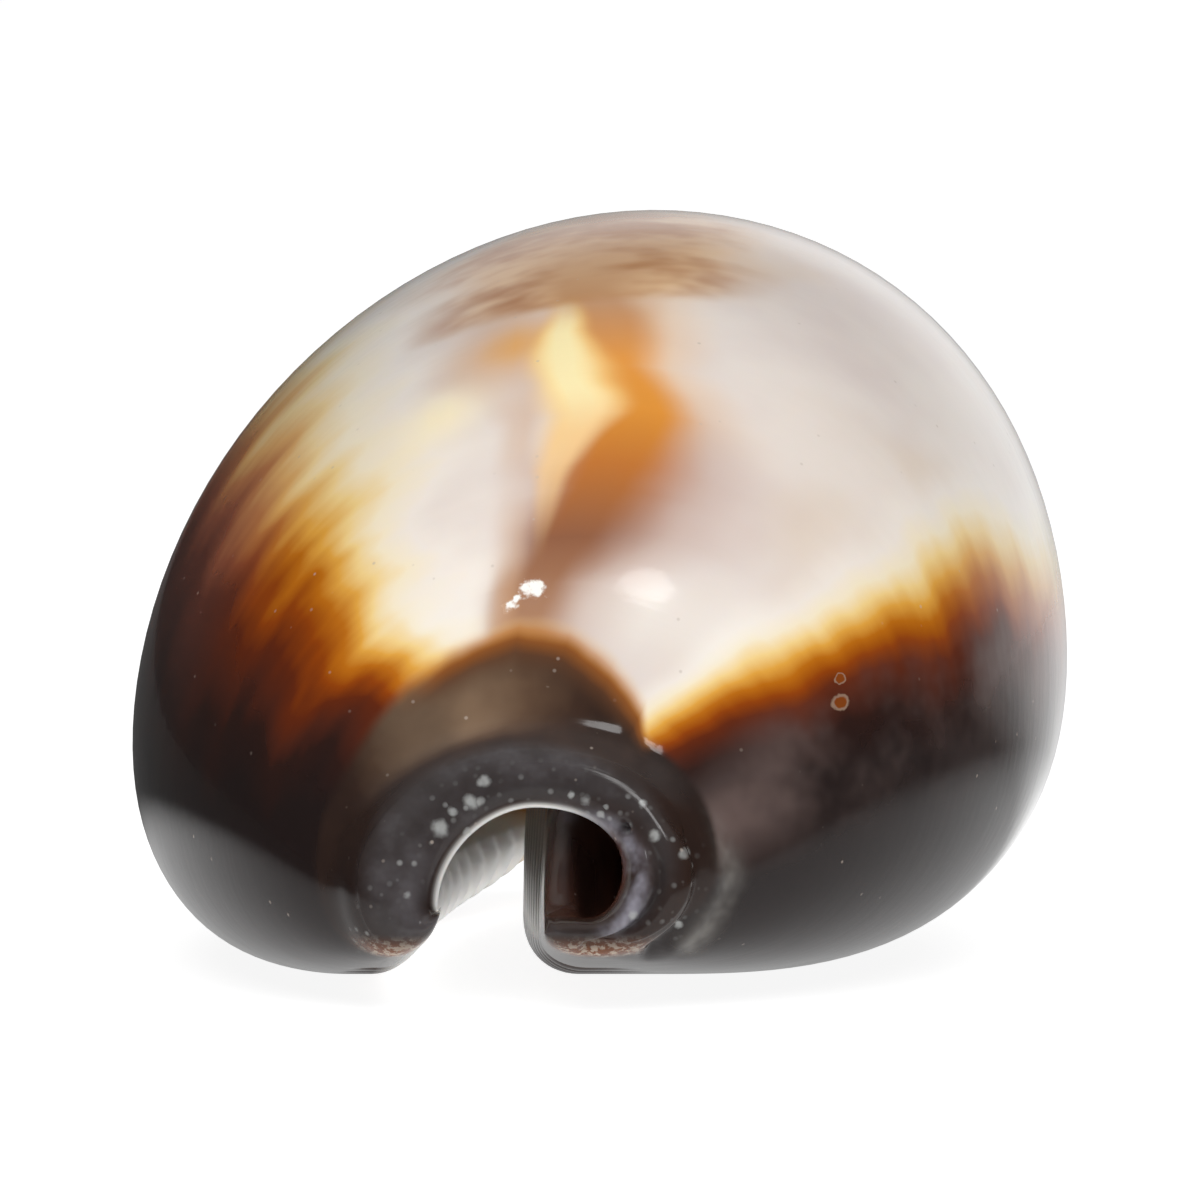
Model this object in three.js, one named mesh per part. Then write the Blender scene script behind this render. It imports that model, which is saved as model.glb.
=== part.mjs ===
// A cowrie shell, in millimetres. It rests on its base, +Z up.
// -Y is the front (siphonal) end, +Y the back (spire) end, -X the outer lip's side and
// +X the side of the columella. The origin is under the middle of the shell, at the base.
//
// A cowrie is one sheet of shell, rolled up until its two edges face each other across the
// long slit of the aperture. It is built the same way here: each cross-section is an open
// ring with an outer skin and an inner skin, which meet at the two lips of the slit. At
// each end the skins close on each other in the round rim of a canal.
import * as THREE from "three";
import { mergeVertices } from "three/addons/utils/BufferGeometryUtils.js";

// Driving dimensions
const LENGTH = 40;
const WIDTH = 25.4;
const HEIGHT = 20;
const WALL = 1.5; // thickness of the sides and the back
const FLAT = 0.1; // how much the base's lowest places are worn flat

// The fullest section lies a little behind the middle.
const END = LENGTH / 2;
const SIDE = WIDTH / 2;
const BELLY_Y = 2;
const FRONT_REACH = 20.6;
const BACK_REACH = 17.0;
const BLUNTNESS = 2.05; // 2 is an ellipse, more is blunter
const NECK = 0.12; // how far the body's bulge is softened into each canal
const NECK_FILLET = 0.05;

// The rim round each canal
const RIM = 1.0; // how far from the end the skins start to close on each other
const NOTCH = 1.1; // how far the arch of the rim stands back from the tips of the lips
const NOTCH_REACH = 6;
const LIP = 1.2; // the roundness of the lips' edges

// Mesh density: rows along the shell, and steps round each part of a section
const ROWS = 54;
const STEPS = { lip: 4, base: 3, footLeft: 7, topLeft: 10, topRight: 9, footRight: 8 };

// Numbers that change along the shell: [y, value] where the shape needs a value, and a
// smooth curve between them.
function track(...stops) {
  const line = new THREE.SplineCurve(stops.map(([y, value]) => new THREE.Vector2(y, value)));
  const points = line.getPoints(200);
  return (y) => {
    const next = points.findIndex((p) => p.x >= y);
    if (next < 1) return next === 0 ? points[0].y : points.at(-1).y;
    const [a, b] = [points[next - 1], points[next]];
    return a.y + ((b.y - a.y) * (y - a.x)) / (b.x - a.x);
  };
}
const slitMiddle = track([-20, -2.7], [-10, -3.25], [0, -3.3], [8, -2.6], [14, -1.2], [20, 0.5]);
const slitWidth = track([-20, 2.6], [-12, 3.0], [0, 2.5], [12, 1.8], [20, 1.9]);
const keel = track([-20, 1.6], [-14, 0.6], [-7, 0.0], [0, -FLAT], [6, 0], [13, 0.6], [20, 1.7]);
const ridgeHeight = track(
  [-20, 0], [-18.4, 0.5], [-16.6, 3.6], [-14, 5.2], [0, 7], [12, 5], [17, 2], [20, 0],
);

// The ring's own measures at the front rim, in the fullest section and at the back rim.
// z is counted from the keel, the lowest line of the base.
const OUTER = {
  front: {
    left: -6.3, right: 2.5, top: 5, topX: -1.9,
    leftZ: 1.9, rightZ: 2.2, footL: -5.15, footR: -0.3,
  },
  belly: {
    left: -SIDE, right: SIDE, top: HEIGHT + FLAT, topX: 1.3,
    leftZ: 5.9, rightZ: 7.9, footL: -7.6, footR: 4.7,
  },
  back: {
    left: -3.4, right: 4.6, top: 5.4, topX: 0.9,
    leftZ: 2.0, rightZ: 2.3, footL: -1.6, footR: 2.7,
  },
};
const INNER = {
  front: {
    left: -4.0, right: 0.42, top: 3.55, topX: -1.7,
    leftZ: 1.2, rightZ: 2.1, footL: -4.0, footR: -0.4, floor: 0.95,
  },
  belly: {
    left: -SIDE + WALL, right: SIDE - WALL, top: HEIGHT - WALL, topX: 1.3,
    leftZ: 6.4, rightZ: 8.2, footL: -7.2, footR: 4.5, floor: 2.4,
  },
  back: {
    left: -0.45, right: 2.5, top: 3.4, topX: 1.0,
    leftZ: 1.3, rightZ: 1.9, footL: -0.45, footR: 1.9, floor: 1.0,
  },
};
const ROUND = { topLeft: 1.87, topRight: 2.12, footLeft: 2.25, footRight: 2.2 }; // superellipse powers

const mix = THREE.MathUtils.lerp;

// 0 in a canal, 1 in the fullest section. shorter takes length off the bulge at both ends.
function fullness(y, shorter) {
  const reach = (y < BELLY_Y ? FRONT_REACH : BACK_REACH) - shorter;
  const rest = 1 - Math.abs((y - BELLY_Y) / reach) ** BLUNTNESS;
  const soft = (rest + Math.hypot(rest, NECK_FILLET)) / 2;
  return (Math.sqrt(soft + NECK ** 2) - NECK) / (Math.sqrt(1 + NECK ** 2) - NECK);
}

function measures(table, y, full) {
  const rim = y < BELLY_Y ? table.front : table.back;
  return Object.fromEntries(Object.keys(rim).map((key) => [key, mix(rim[key], table.belly[key], full)]));
}

// A quarter of a superellipse round a centre, from one of its axes to the other.
function quarter(points, centre, toStart, toEnd, power, steps) {
  for (let i = 1; i <= steps; i++) {
    const angle = (i / steps) * (Math.PI / 2);
    const a = Math.cos(angle) ** (2 / power);
    const b = Math.sin(angle) ** (2 / power);
    points.push([centre[0] + a * toStart[0] + b * toEnd[0], centre[1] + a * toStart[1] + b * toEnd[1]]);
  }
}

function straight(points, end, steps) {
  const start = points.at(-1);
  for (let i = 1; i <= steps; i++) {
    points.push([mix(start[0], end[0], i / steps), mix(start[1], end[1], i / steps)]);
  }
}

function curve(points, stops, steps) {
  const path = [points.at(-1), ...stops].map(([x, z]) => new THREE.Vector2(x, z));
  const smooth = new THREE.SplineCurve(path).getSpacedPoints(steps);
  smooth.slice(1).forEach((p) => points.push([p.x, p.y]));
}

// The outer skin of one section, from the left lip's edge round the back to the right lip's.
function outerSkin(m, slit) {
  const lipL = Math.min(LIP, slit.left - m.footL);
  const lipR = Math.min(LIP, (m.footR - slit.right) * 0.9);
  const points = [[slit.left, slit.edgeL]];
  quarter(points, [slit.left - lipL, slit.edgeL], [lipL, 0], [0, -slit.edgeL], 2, STEPS.lip);
  straight(points, [m.footL, 0], STEPS.base);
  quarter(
    points, [m.footL, m.leftZ], [0, -m.leftZ], [m.left - m.footL, 0],
    ROUND.footLeft, STEPS.footLeft,
  );
  quarter(
    points, [m.topX, m.leftZ], [m.left - m.topX, 0], [0, m.top - m.leftZ],
    ROUND.topLeft, STEPS.topLeft,
  );
  quarter(
    points, [m.topX, m.rightZ], [0, m.top - m.rightZ], [m.right - m.topX, 0],
    ROUND.topRight, STEPS.topRight,
  );
  quarter(
    points, [m.footR, m.rightZ], [m.right - m.footR, 0], [0, -m.rightZ],
    ROUND.footRight, STEPS.footRight,
  );
  straight(points, [slit.right + lipR, 0], STEPS.base);
  quarter(points, [slit.right + lipR, slit.edgeR], [0, -slit.edgeR], [-lipR, 0], 2, STEPS.lip);
  return points;
}

// The inner skin, between the same two edges. On its right side it climbs over the
// columella, the ridge on which the inner whorls sat.
function innerSkin(m, slit, ridge) {
  const left = Math.max(slit.left - m.footL, 0);
  const lipL = Math.min(LIP, left);
  const floorL = mix(slit.edgeL, m.floor, Math.min(1, left));
  const points = [[slit.left, slit.edgeL]];
  quarter(
    points, [slit.left - lipL, slit.edgeL], [lipL, 0], [0, floorL - slit.edgeL],
    2, STEPS.lip,
  );
  straight(points, [m.footL, floorL], STEPS.base);
  quarter(
    points, [m.footL, m.leftZ], [0, floorL - m.leftZ], [m.left - m.footL, 0],
    2, STEPS.footLeft,
  );
  quarter(
    points, [m.topX, m.leftZ], [m.left - m.topX, 0], [0, m.top - m.leftZ],
    ROUND.topLeft, STEPS.topLeft,
  );
  quarter(
    points, [m.topX, m.rightZ], [0, m.top - m.rightZ], [m.right - m.topX, 0],
    ROUND.topRight, STEPS.topRight,
  );
  quarter(
    points, [m.footR, m.rightZ], [m.right - m.footR, 0], [0, m.floor - m.rightZ],
    2, STEPS.footRight,
  );
  const wide = Math.min(3.4, (m.footR - slit.right) * 0.9);
  const rise = (across, up) => [slit.right + wide * across, m.floor + ridge * up];
  const ridgeLine = [rise(1, 0.12), rise(0.8, 0.7), rise(0.45, 1), rise(0.12, 0.7), rise(0.02, 0.2)];
  curve(points, [...ridgeLine, [slit.right, slit.edgeR]], STEPS.base + STEPS.lip);
  return points;
}

// Both skins of the section at y, as points in space.
function section(y) {
  const outer = measures(OUTER, y, fullness(y, 0));
  const inner = measures(INNER, y, fullness(y, WALL));
  const half = slitWidth(y) / 2;
  const slit = {
    left: slitMiddle(y) - half,
    right: slitMiddle(y) + half,
    edgeL: mix(1.15, 1.2, fullness(y, 0)),
    edgeR: mix(0.5, 1.1, fullness(y, 0)),
  };
  const skins = [outerSkin(outer, slit), innerSkin(inner, slit, ridgeHeight(y))];
  const lift = keel(y);
  return skins.map((skin) => skin.map(([x, z]) => [x, z + lift]));
}

// The skins close on the line between them over the length of the rim, which makes it
// round, and the arch of the rim stands back from the tips of the lips.
function row(y) {
  const [outer, inner] = section(y);
  const deep = END - Math.abs(y);
  const open = deep < RIM ? Math.sqrt(1 - (1 - deep / RIM) ** 2) : 1;
  const archTop = Math.max(...outer.map((p) => p[1]));
  const set = (p, middle) => {
    const x = mix(middle[0], p[0], open);
    const z = mix(middle[1], p[1], open);
    const height = THREE.MathUtils.smoothstep(z, keel(y) + LIP, archTop);
    const back = NOTCH * height * Math.max(0, 1 - deep / NOTCH_REACH) ** 2;
    return new THREE.Vector3(x, y - Math.sign(y) * back, Math.max(z, 0));
  };
  const middles = outer.map((p, i) => [(p[0] + inner[i][0]) / 2, (p[1] + inner[i][1]) / 2]);
  const out = outer.map((p, i) => set(p, middles[i]));
  const into = inner.map((p, i) => set(p, middles[i]));
  return [...out, ...into.slice(1, -1).reverse()];
}

function shellGeometry() {
  const rows = [];
  for (let i = 0; i <= ROWS; i++) rows.push(row(-END * Math.cos((Math.PI * i) / ROWS)));
  const around = rows[0].length;
  const positions = rows.flat().flatMap((p) => [p.x, p.y, p.z]);
  const faces = [];
  for (let i = 0; i < ROWS; i++) {
    for (let j = 0; j < around; j++) {
      const [a, b] = [i * around + j, i * around + ((j + 1) % around)];
      faces.push(a, b, a + around, b, b + around, a + around);
    }
  }
  const sheet = new THREE.BufferGeometry();
  sheet.setAttribute("position", new THREE.Float32BufferAttribute(positions, 3));
  sheet.setIndex(faces);
  return withoutSlivers(mergeVertices(sheet, 2e-3));
}

// Where the skins meet, some faces have two corners in one place. They are left out.
function withoutSlivers(geometry) {
  const index = geometry.index.array;
  const kept = [];
  for (let i = 0; i < index.length; i += 3) {
    const [a, b, c] = index.slice(i, i + 3);
    if (a !== b && b !== c && c !== a) kept.push(a, b, c);
  }
  geometry.setIndex(kept);
  geometry.computeVertexNormals();
  return geometry;
}

const enamel = new THREE.MeshStandardMaterial({ color: 0x4a3227, roughness: 0.12, metalness: 0 });
const shell = new THREE.Mesh(shellGeometry(), enamel);
shell.name = "shell";

const cowrie = new THREE.Group();
cowrie.add(shell);
export default cowrie;
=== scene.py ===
# %% [markdown]
# # A cowrie shell
#
# This lesson makes one cowrie: a sea snail's shell as glossy as glazed china, pale on its
# back and blackish brown on its sides. The animal laid the shell down as one sheet, which
# it rolled up until the two edges almost met in a long slit under its belly. It then spread
# its soft mantle over the outside and polished it with layer upon layer of enamel.
#
# The lesson follows the animal: a flat sheet, the roll, the lips and the canals, the glaze,
# and last a table, some light and a camera.

import math

import bpy
import numpy as np
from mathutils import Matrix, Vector


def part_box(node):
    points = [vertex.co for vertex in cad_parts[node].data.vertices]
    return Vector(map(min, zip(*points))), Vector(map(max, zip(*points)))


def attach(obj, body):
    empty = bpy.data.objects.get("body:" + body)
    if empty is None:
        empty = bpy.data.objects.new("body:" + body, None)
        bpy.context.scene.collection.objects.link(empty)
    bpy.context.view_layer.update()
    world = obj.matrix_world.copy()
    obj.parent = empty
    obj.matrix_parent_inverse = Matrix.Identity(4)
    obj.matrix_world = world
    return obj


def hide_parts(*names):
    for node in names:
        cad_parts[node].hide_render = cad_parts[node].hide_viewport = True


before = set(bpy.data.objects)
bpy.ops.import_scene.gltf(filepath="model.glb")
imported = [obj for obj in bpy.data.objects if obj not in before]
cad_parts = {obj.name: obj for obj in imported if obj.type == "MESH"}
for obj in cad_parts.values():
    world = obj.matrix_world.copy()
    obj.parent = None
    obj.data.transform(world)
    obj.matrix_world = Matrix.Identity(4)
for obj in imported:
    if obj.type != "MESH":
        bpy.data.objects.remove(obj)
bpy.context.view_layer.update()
MM = 0.001
low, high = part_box("shell")
LENGTH, WIDTH, HEIGHT = [(high[k] - low[k]) / MM for k in (1, 0, 2)]
END = LENGTH / 2
SIDE = WIDTH / 2
print(f"the shell is {LENGTH:.1f} mm long, {WIDTH:.1f} mm wide and {HEIGHT:.1f} mm high")

# %% [markdown]
# ## The flat sheet
#
# The whole shell is one skin that goes once round the wall: along the outside from the left
# lip over the back to the right lip, then home along the inside. Laid flat, that is a
# rectangle. A grid is the right primitive for it, because its rows become the growth lines
# across the shell and its columns run from end to end, and because the grid's own UV map
# stays on the sheet when it is rolled up. Later the glaze uses that map to know which way
# the shell grew.

# %% A grid for the sheet
SKIN_STEPS = {"lip": 12, "base": 14, "foot_left": 22, "top_left": 30, "top_right": 28, "foot_right": 26}
SKIN = sum(SKIN_STEPS.values()) + SKIN_STEPS["lip"] + SKIN_STEPS["base"]
ROUND_IT = 2 * SKIN
ROWS = 300

bpy.ops.object.select_all(action="DESELECT")
bpy.ops.mesh.primitive_grid_add(
    x_subdivisions=ROUND_IT, y_subdivisions=ROWS, size=LENGTH * MM, calc_uvs=True
)
shell = bpy.context.object
shell.name = "cowrie_shell"
shell.data.name = "cowrie_shell"
print(f"the sheet has {len(shell.data.vertices)} corners and {len(shell.data.polygons)} faces")

# %% [markdown]
# ## How the sheet is rolled
#
# A cowrie has no straight line and no true circle in it, so no chain of extrusions or
# bevels gives its shape. Instead each row of the sheet is laid round one cross-section of
# the shell, and the cross-section changes slowly from end to end. It is narrow at the two
# canals and fullest a little behind the middle. A few numbers say how, in millimetres.

# %% Numbers that change smoothly along the shell
def through(stops, samples=400):
    """A smooth curve through some points."""
    stops = np.array(stops, float)
    t = np.linspace(0, len(stops) - 1, samples)
    k = np.minimum(t.astype(int), len(stops) - 2)
    f = (t - k)[:, None]
    start, end = stops[k], stops[k + 1]
    lead_in = (end - stops[np.maximum(k - 1, 0)]) / 2
    lead_out = (stops[np.minimum(k + 2, len(stops) - 1)] - start) / 2
    cubic = 2 * start - 2 * end + lead_in + lead_out
    square = -3 * start + 3 * end - 2 * lead_in - lead_out
    return cubic * f**3 + square * f**2 + lead_in * f + start


def track(*stops):
    """A value at every place along the shell, from (place, value) pairs."""
    curve = through(stops)
    return lambda y: float(np.interp(y, curve[:, 0], curve[:, 1]))


FLAT = 0.1
slit_middle = track((-20, -2.7), (-10, -3.25), (0, -3.3), (8, -2.6), (14, -1.2), (20, 0.5))
slit_width = track((-20, 2.6), (-12, 3.0), (0, 2.5), (12, 1.8), (20, 1.9))
keel = track((-20, 1.6), (-14, 0.6), (-7, 0), (0, -FLAT), (6, 0), (13, 0.6), (20, 1.7))
ridge_height = track(
    (-20, 0), (-18.4, 0.5), (-16.6, 3.6), (-14, 5.2), (0, 7), (12, 5), (17, 2), (20, 0)
)
print(f"the slit is {slit_width(0):.1f} mm wide in the middle and {slit_width(-END):.1f} mm in front")

# %% The cross-section's measures at the two rims and in the fullest place
WALL = 1.5
NAMES = ("left", "right", "top", "top_x", "left_z", "right_z", "foot_l", "foot_r", "floor")
OUTSIDE = {
    "front": (-6.3, 2.5, 5, -1.9, 1.9, 2.2, -5.15, -0.3, 0),
    "belly": (-SIDE, SIDE, HEIGHT + FLAT, 1.3, 5.9, 7.9, -7.6, 4.7, 0),
    "back": (-3.4, 4.6, 5.4, 0.9, 2.0, 2.3, -1.6, 2.7, 0),
}
INSIDE = {
    "front": (-4.0, 0.42, 3.55, -1.7, 1.2, 2.1, -4.0, -0.4, 0.95),
    "belly": (-SIDE + WALL, SIDE - WALL, HEIGHT - WALL, 1.3, 6.4, 8.2, -7.2, 4.5, 2.4),
    "back": (-0.45, 2.5, 3.4, 1.0, 1.3, 1.9, -0.45, 1.9, 1.0),
}
BELLY_Y = 2
REACH_FORWARDS, REACH_BACKWARDS = 20.6, 17.0
BEND, SOFT, EASE = 2.05, 0.05, 0.12


def fullness(y, shorter):
    """0 in a canal and 1 in the fullest place. shorter takes length off the bulge at both ends."""
    reach = (REACH_FORWARDS if y < BELLY_Y else REACH_BACKWARDS) - shorter
    rest = 1 - abs((y - BELLY_Y) / reach) ** BEND
    rest = (rest + math.hypot(rest, SOFT)) / 2
    return (math.sqrt(rest + EASE**2) - EASE) / (math.sqrt(1 + EASE**2) - EASE)


def measures(skin, y, full):
    """A skin's measures at y, between those of the nearer rim and of the fullest place."""
    rim = skin["front"] if y < BELLY_Y else skin["back"]
    return dict(zip(NAMES, [r + (b - r) * full for r, b in zip(rim, skin["belly"])]))


print(f"half way to the front the shell is {fullness(-END / 2, 0):.2f} of its fullest")

# %% [markdown]
# ## One cross-section
#
# A cross-section is drawn as a draughtsman would draw it: quarter rounds that meet at the
# widest and highest places, short straights across the base, and a small round at each
# lip. The inside skin follows the outside at a wall's thickness. On the right it climbs
# over the columella, the pillar that the shell was first wound on.

# %% Quarter rounds, straights and the two skins
def quarter(centre, to_start, to_end, power, steps):
    """A quarter round about a centre. It is an ellipse at power 2, and squarer above that."""
    angle = np.arange(1, steps + 1) / steps * math.pi / 2
    a = np.abs(np.cos(angle)) ** (2 / power)
    b = np.sin(angle) ** (2 / power)
    return np.array(centre) + np.outer(a, to_start) + np.outer(b, to_end)


def straight(start, end, steps):
    f = np.arange(1, steps + 1)[:, None] / steps
    return np.array(start) * (1 - f) + np.array(end) * f


def spaced(stops, steps):
    """Equal steps along a smooth curve through some points."""
    curve = through(stops)
    gone = np.insert(np.cumsum(np.hypot(*np.diff(curve, axis=0).T)), 0, 0)
    places = np.linspace(0, gone[-1], steps + 1)[1:]
    return np.stack([np.interp(places, gone, curve[:, k]) for k in (0, 1)], 1)


def back_of_shell(m, floor_left, floor_right, foot_powers):
    """The big rounds that both skins share, from the left foot over the top to the right foot."""
    n = SKIN_STEPS
    power_left, power_right = foot_powers
    left, right = m["foot_l"], m["foot_r"]
    left_z, right_z, top_x = m["left_z"], m["right_z"], m["top_x"]
    down_left, out_left = (0, floor_left - left_z), (m["left"] - left, 0)
    down_right, out_right = (0, floor_right - right_z), (m["right"] - right, 0)
    return [
        quarter((left, left_z), down_left, out_left, power_left, n["foot_left"]),
        quarter((top_x, left_z), (m["left"] - top_x, 0), (0, m["top"] - left_z), 1.87, n["top_left"]),
        quarter((top_x, right_z), (0, m["top"] - right_z), (m["right"] - top_x, 0), 2.12, n["top_right"]),
        quarter((right, right_z), out_right, down_right, power_right, n["foot_right"]),
    ]


LIP = 1.2


def outside(m, slit):
    lip_l = min(LIP, slit["left"] - m["foot_l"])
    lip_r = min(LIP, (m["foot_r"] - slit["right"]) * 0.9)
    n = SKIN_STEPS
    start = (slit["left"], slit["edge_l"])
    return np.vstack([
        [start],
        quarter((start[0] - lip_l, start[1]), (lip_l, 0), (0, -start[1]), 2, n["lip"]),
        straight((start[0] - lip_l, 0), (m["foot_l"], 0), n["base"]),
        *back_of_shell(m, 0, 0, (2.25, 2.2)),
        straight((m["foot_r"], 0), (slit["right"] + lip_r, 0), n["base"]),
        quarter((slit["right"] + lip_r, slit["edge_r"]), (0, -slit["edge_r"]), (-lip_r, 0), 2, n["lip"]),
    ])


def inside(m, slit, ridge):
    m = {**m, "foot_l": min(m["foot_l"], slit["left"])}
    room = slit["left"] - m["foot_l"]
    lip_l = min(LIP, room)
    floor_l = slit["edge_l"] + (m["floor"] - slit["edge_l"]) * min(1, room)
    n = SKIN_STEPS
    start = (slit["left"], slit["edge_l"])
    wide = min(3.4, (m["foot_r"] - slit["right"]) * 0.9)
    pillar = [(m["foot_r"], m["floor"])]
    for across, up in ((1, 0.12), (0.8, 0.7), (0.45, 1), (0.12, 0.7), (0.02, 0.2)):
        pillar.append((slit["right"] + wide * across, m["floor"] + ridge * up))
    pillar.append((slit["right"], slit["edge_r"]))
    return np.vstack([
        [start],
        quarter((start[0] - lip_l, start[1]), (lip_l, 0), (0, floor_l - start[1]), 2, n["lip"]),
        straight((start[0] - lip_l, floor_l), (m["foot_l"], floor_l), n["base"]),
        *back_of_shell(m, floor_l, m["floor"], (2, 2)),
        spaced(pillar, n["base"] + n["lip"]),
    ])


def section(y):
    """Both skins of the cross-section at y, as x and z in millimetres."""
    full = fullness(y, 0)
    half = slit_width(y) / 2
    slit = {
        "left": slit_middle(y) - half,
        "right": slit_middle(y) + half,
        "edge_l": 1.15 + 0.05 * full,
        "edge_r": 0.5 + 0.6 * full,
    }
    skins = [
        outside(measures(OUTSIDE, y, full), slit),
        inside(measures(INSIDE, y, fullness(y, WALL)), slit, ridge_height(y)),
    ]
    return [skin + (0, keel(y)) for skin in skins]


print(f"a skin of the cross-section has {len(section(0)[0])} points")

# %% [markdown]
# ## Rolling it up
#
# Each end of the shell is a short open canal, through which the living snail breathed. The
# rim round a canal is thick and round, so the two skins close on each other over the last
# millimetre. The arch of the rim also stands back from the tips of the lips.

# %% Every row of the sheet goes round its own cross-section
RIM = 1.0
NOTCH, NOTCH_REACH = 1.1, 6


def smooth_step(value, start, end):
    """0 at start and 1 at end, smoothly. start may be the larger of the two."""
    f = np.clip((value - start) / (end - start), 0, 1)
    return f * f * (3 - 2 * f)


def ring(y):
    """One closed row of the shell: out along the outside, home along the inside."""
    outer, inner = section(y)
    middle = (outer + inner) / 2
    deep = END - abs(y)
    open_ = math.sqrt(1 - (1 - deep / RIM) ** 2) if deep < RIM else 1
    loop = np.vstack([
        middle + (outer - middle) * open_,
        (middle + (inner - middle) * open_)[::-1][1:],
    ])
    height = smooth_step(loop[:, 1], keel(y) + LIP, outer[:, 1].max())
    back = NOTCH * height * max(0, 1 - deep / NOTCH_REACH) ** 2
    depth = y - math.copysign(1, y) * back
    return np.stack([loop[:, 0], depth, np.maximum(loop[:, 1], 0)], 1)


along = -END * np.cos(np.pi * np.arange(ROWS + 1) / ROWS)
body = np.array([ring(y) for y in along])


def put(points):
    """Moves the sheet's corners, given in millimetres, row by row."""
    shell.data.vertices.foreach_set("co", (points * MM).astype(np.float32).ravel())
    shell.data.update()


put(body)
print("rolled up it measures", [round(float(s), 2) for s in np.ptp(body.reshape(-1, 3), axis=0)], "mm")

# %% [markdown]
# ## Smoothing the back
#
# The quarter rounds meet neatly, but their bends don't quite agree where they meet, and on
# a surface as glossy as this one every such place shows as a kink in the reflections. The
# animal leaves no kinks: it builds outwards everywhere at once. So the back is relaxed with
# the smooth tool, and the lips, the rims and most of the flat base are left alone.

# %% Relax the back of the shell
def sheet_points():
    points = np.empty(len(shell.data.vertices) * 3, np.float32)
    shell.data.vertices.foreach_get("co", points)
    return points.reshape(ROWS + 1, ROUND_IT + 1, 3).astype(float) / MM


row_of, place_of = np.meshgrid(np.arange(ROWS + 1), np.arange(ROUND_IT + 1), indexing="ij")
on_outside = place_of <= SKIN
foot = SKIN_STEPS["lip"] + SKIN_STEPS["base"]
OFF_THE_BASE, OFF_THE_RIMS = foot - 6, 16
the_back = on_outside & (place_of > OFF_THE_BASE) & (place_of < SKIN - OFF_THE_BASE)
the_back &= (row_of > OFF_THE_RIMS) & (row_of < ROWS - OFF_THE_RIMS)

bpy.ops.object.mode_set(mode="EDIT")
bpy.ops.mesh.select_all(action="DESELECT")
bpy.ops.object.mode_set(mode="OBJECT")
shell.data.vertices.foreach_set("select", the_back.ravel())
bpy.ops.object.mode_set(mode="EDIT")
bpy.ops.mesh.vertices_smooth(factor=0.5, repeat=40)
bpy.ops.object.mode_set(mode="OBJECT")
body = sheet_points()
grow = [SIDE / np.abs(body[..., 0]).max(), 1, HEIGHT / body[..., 2].max()]
body = np.clip(body * grow, np.array(low) / MM, np.array(high) / MM)
print(f"{int(the_back.sum())} corners of the back are relaxed, and grown again by {grow[2] - 1:.1%}")

# %% [markdown]
# ## The teeth
#
# Small shapes are cut into the smooth body, as a carver would: every corner near a groove
# moves inwards along its own normal. The teeth are the ridges left between grooves that
# run across both lips, highest on the base and low at the very edge of the slit. They are
# longer on the outer lip (left) and shorter on the columella's side, and there are none on
# the bare lips of the front canal.

# %% Cut grooves along the normals
def normals(points):
    """The outward direction at every corner of the sheet."""
    n = np.cross(np.gradient(points, axis=1), np.gradient(points, axis=0))
    return n / np.maximum(np.linalg.norm(n, axis=2, keepdims=True), 1e-9)


def carve(depth):
    """Moves the corners inwards by a depth in millimetres, and keeps the sheet's edges together."""
    global body
    body = body - normals(body) * depth[..., None]
    body[..., 2] = np.maximum(body[..., 2], 0)
    for rim in (0, ROWS):
        body[rim] = (body[rim] + body[rim, ::-1]) / 2
    body[:, 0] = body[:, -1] = (body[:, 0] + body[:, -1]) / 2


from_left_lip = np.where(on_outside, place_of, 2 * SKIN - place_of)
from_right_lip = SKIN - from_left_lip
x, y, z = np.moveaxis(body, 2, 0)

PITCH = 1.5
TEETH_FROM, TEETH_TO = -15.2, 17.2
between = (0.5 + 0.5 * np.cos(2 * np.pi * (y - TEETH_FROM) / PITCH)) ** 1.7
between *= smooth_step(y, TEETH_FROM - 1.2, TEETH_FROM + 1.5)
between *= smooth_step(y, TEETH_TO, TEETH_TO - 1.5)
low_on_the_left = 0.15 + 0.85 * smooth_step(from_left_lip, 2, 9)
low_on_the_right = 0.12 + 0.88 * smooth_step(from_right_lip, 2, 8)
on_outer_lip = np.where(
    on_outside,
    smooth_step(from_left_lip, 25, 11) * low_on_the_left,
    0.15 * smooth_step(from_left_lip, 8, 0),
)
on_columella = np.where(
    on_outside,
    smooth_step(from_right_lip, 20, 9) * low_on_the_right,
    0.12 * smooth_step(from_right_lip, 12, 0),
)
gaps = between * np.where(from_left_lip < SKIN / 2, on_outer_lip, on_columella)
GAP_DEPTH = 0.5
carve(GAP_DEPTH * gaps)
print(f"about {int((TEETH_TO - TEETH_FROM) / PITCH)} teeth on each lip, one every {PITCH} mm")

# %% [markdown]
# ## The rim of the front canal
#
# The shell's right side curls round the canal in two folds, one inside the other, and
# behind them lies an old break that the animal healed with paler shell. Each is a line on
# the front face, so each is carved by its distance from that line, seen from the front.
# A line along the innermost fold is not carved: it guides a painted sheen, a grey-violet
# highlight painted on later.
# A belt of tiny bubbles, caught in the last layers of enamel, follows the rim. They lie
# under the surface, so here the belt is only marked, and its bubbles are painted later.

# %% Folds round the right side of the canal
def bell(distance, reach):
    """1 where the distance is 0, and almost 0 at twice the reach."""
    return np.exp(-((distance / reach) ** 2))


LINE_POINTS = 60


def distance_to_line(line):
    """How far each corner lies from a smooth line on the front face, and how far along it."""
    curve = through(line, LINE_POINTS)
    nearest = np.full(x.shape, 1e9)
    gone = np.zeros(x.shape)
    for k, (line_x, line_z) in enumerate(curve):
        d = np.hypot(x - line_x, z - line_z)
        gone = np.where(d < nearest, k / (LINE_POINTS - 1), gone)
        nearest = np.minimum(nearest, d)
    return nearest, gone


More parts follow.
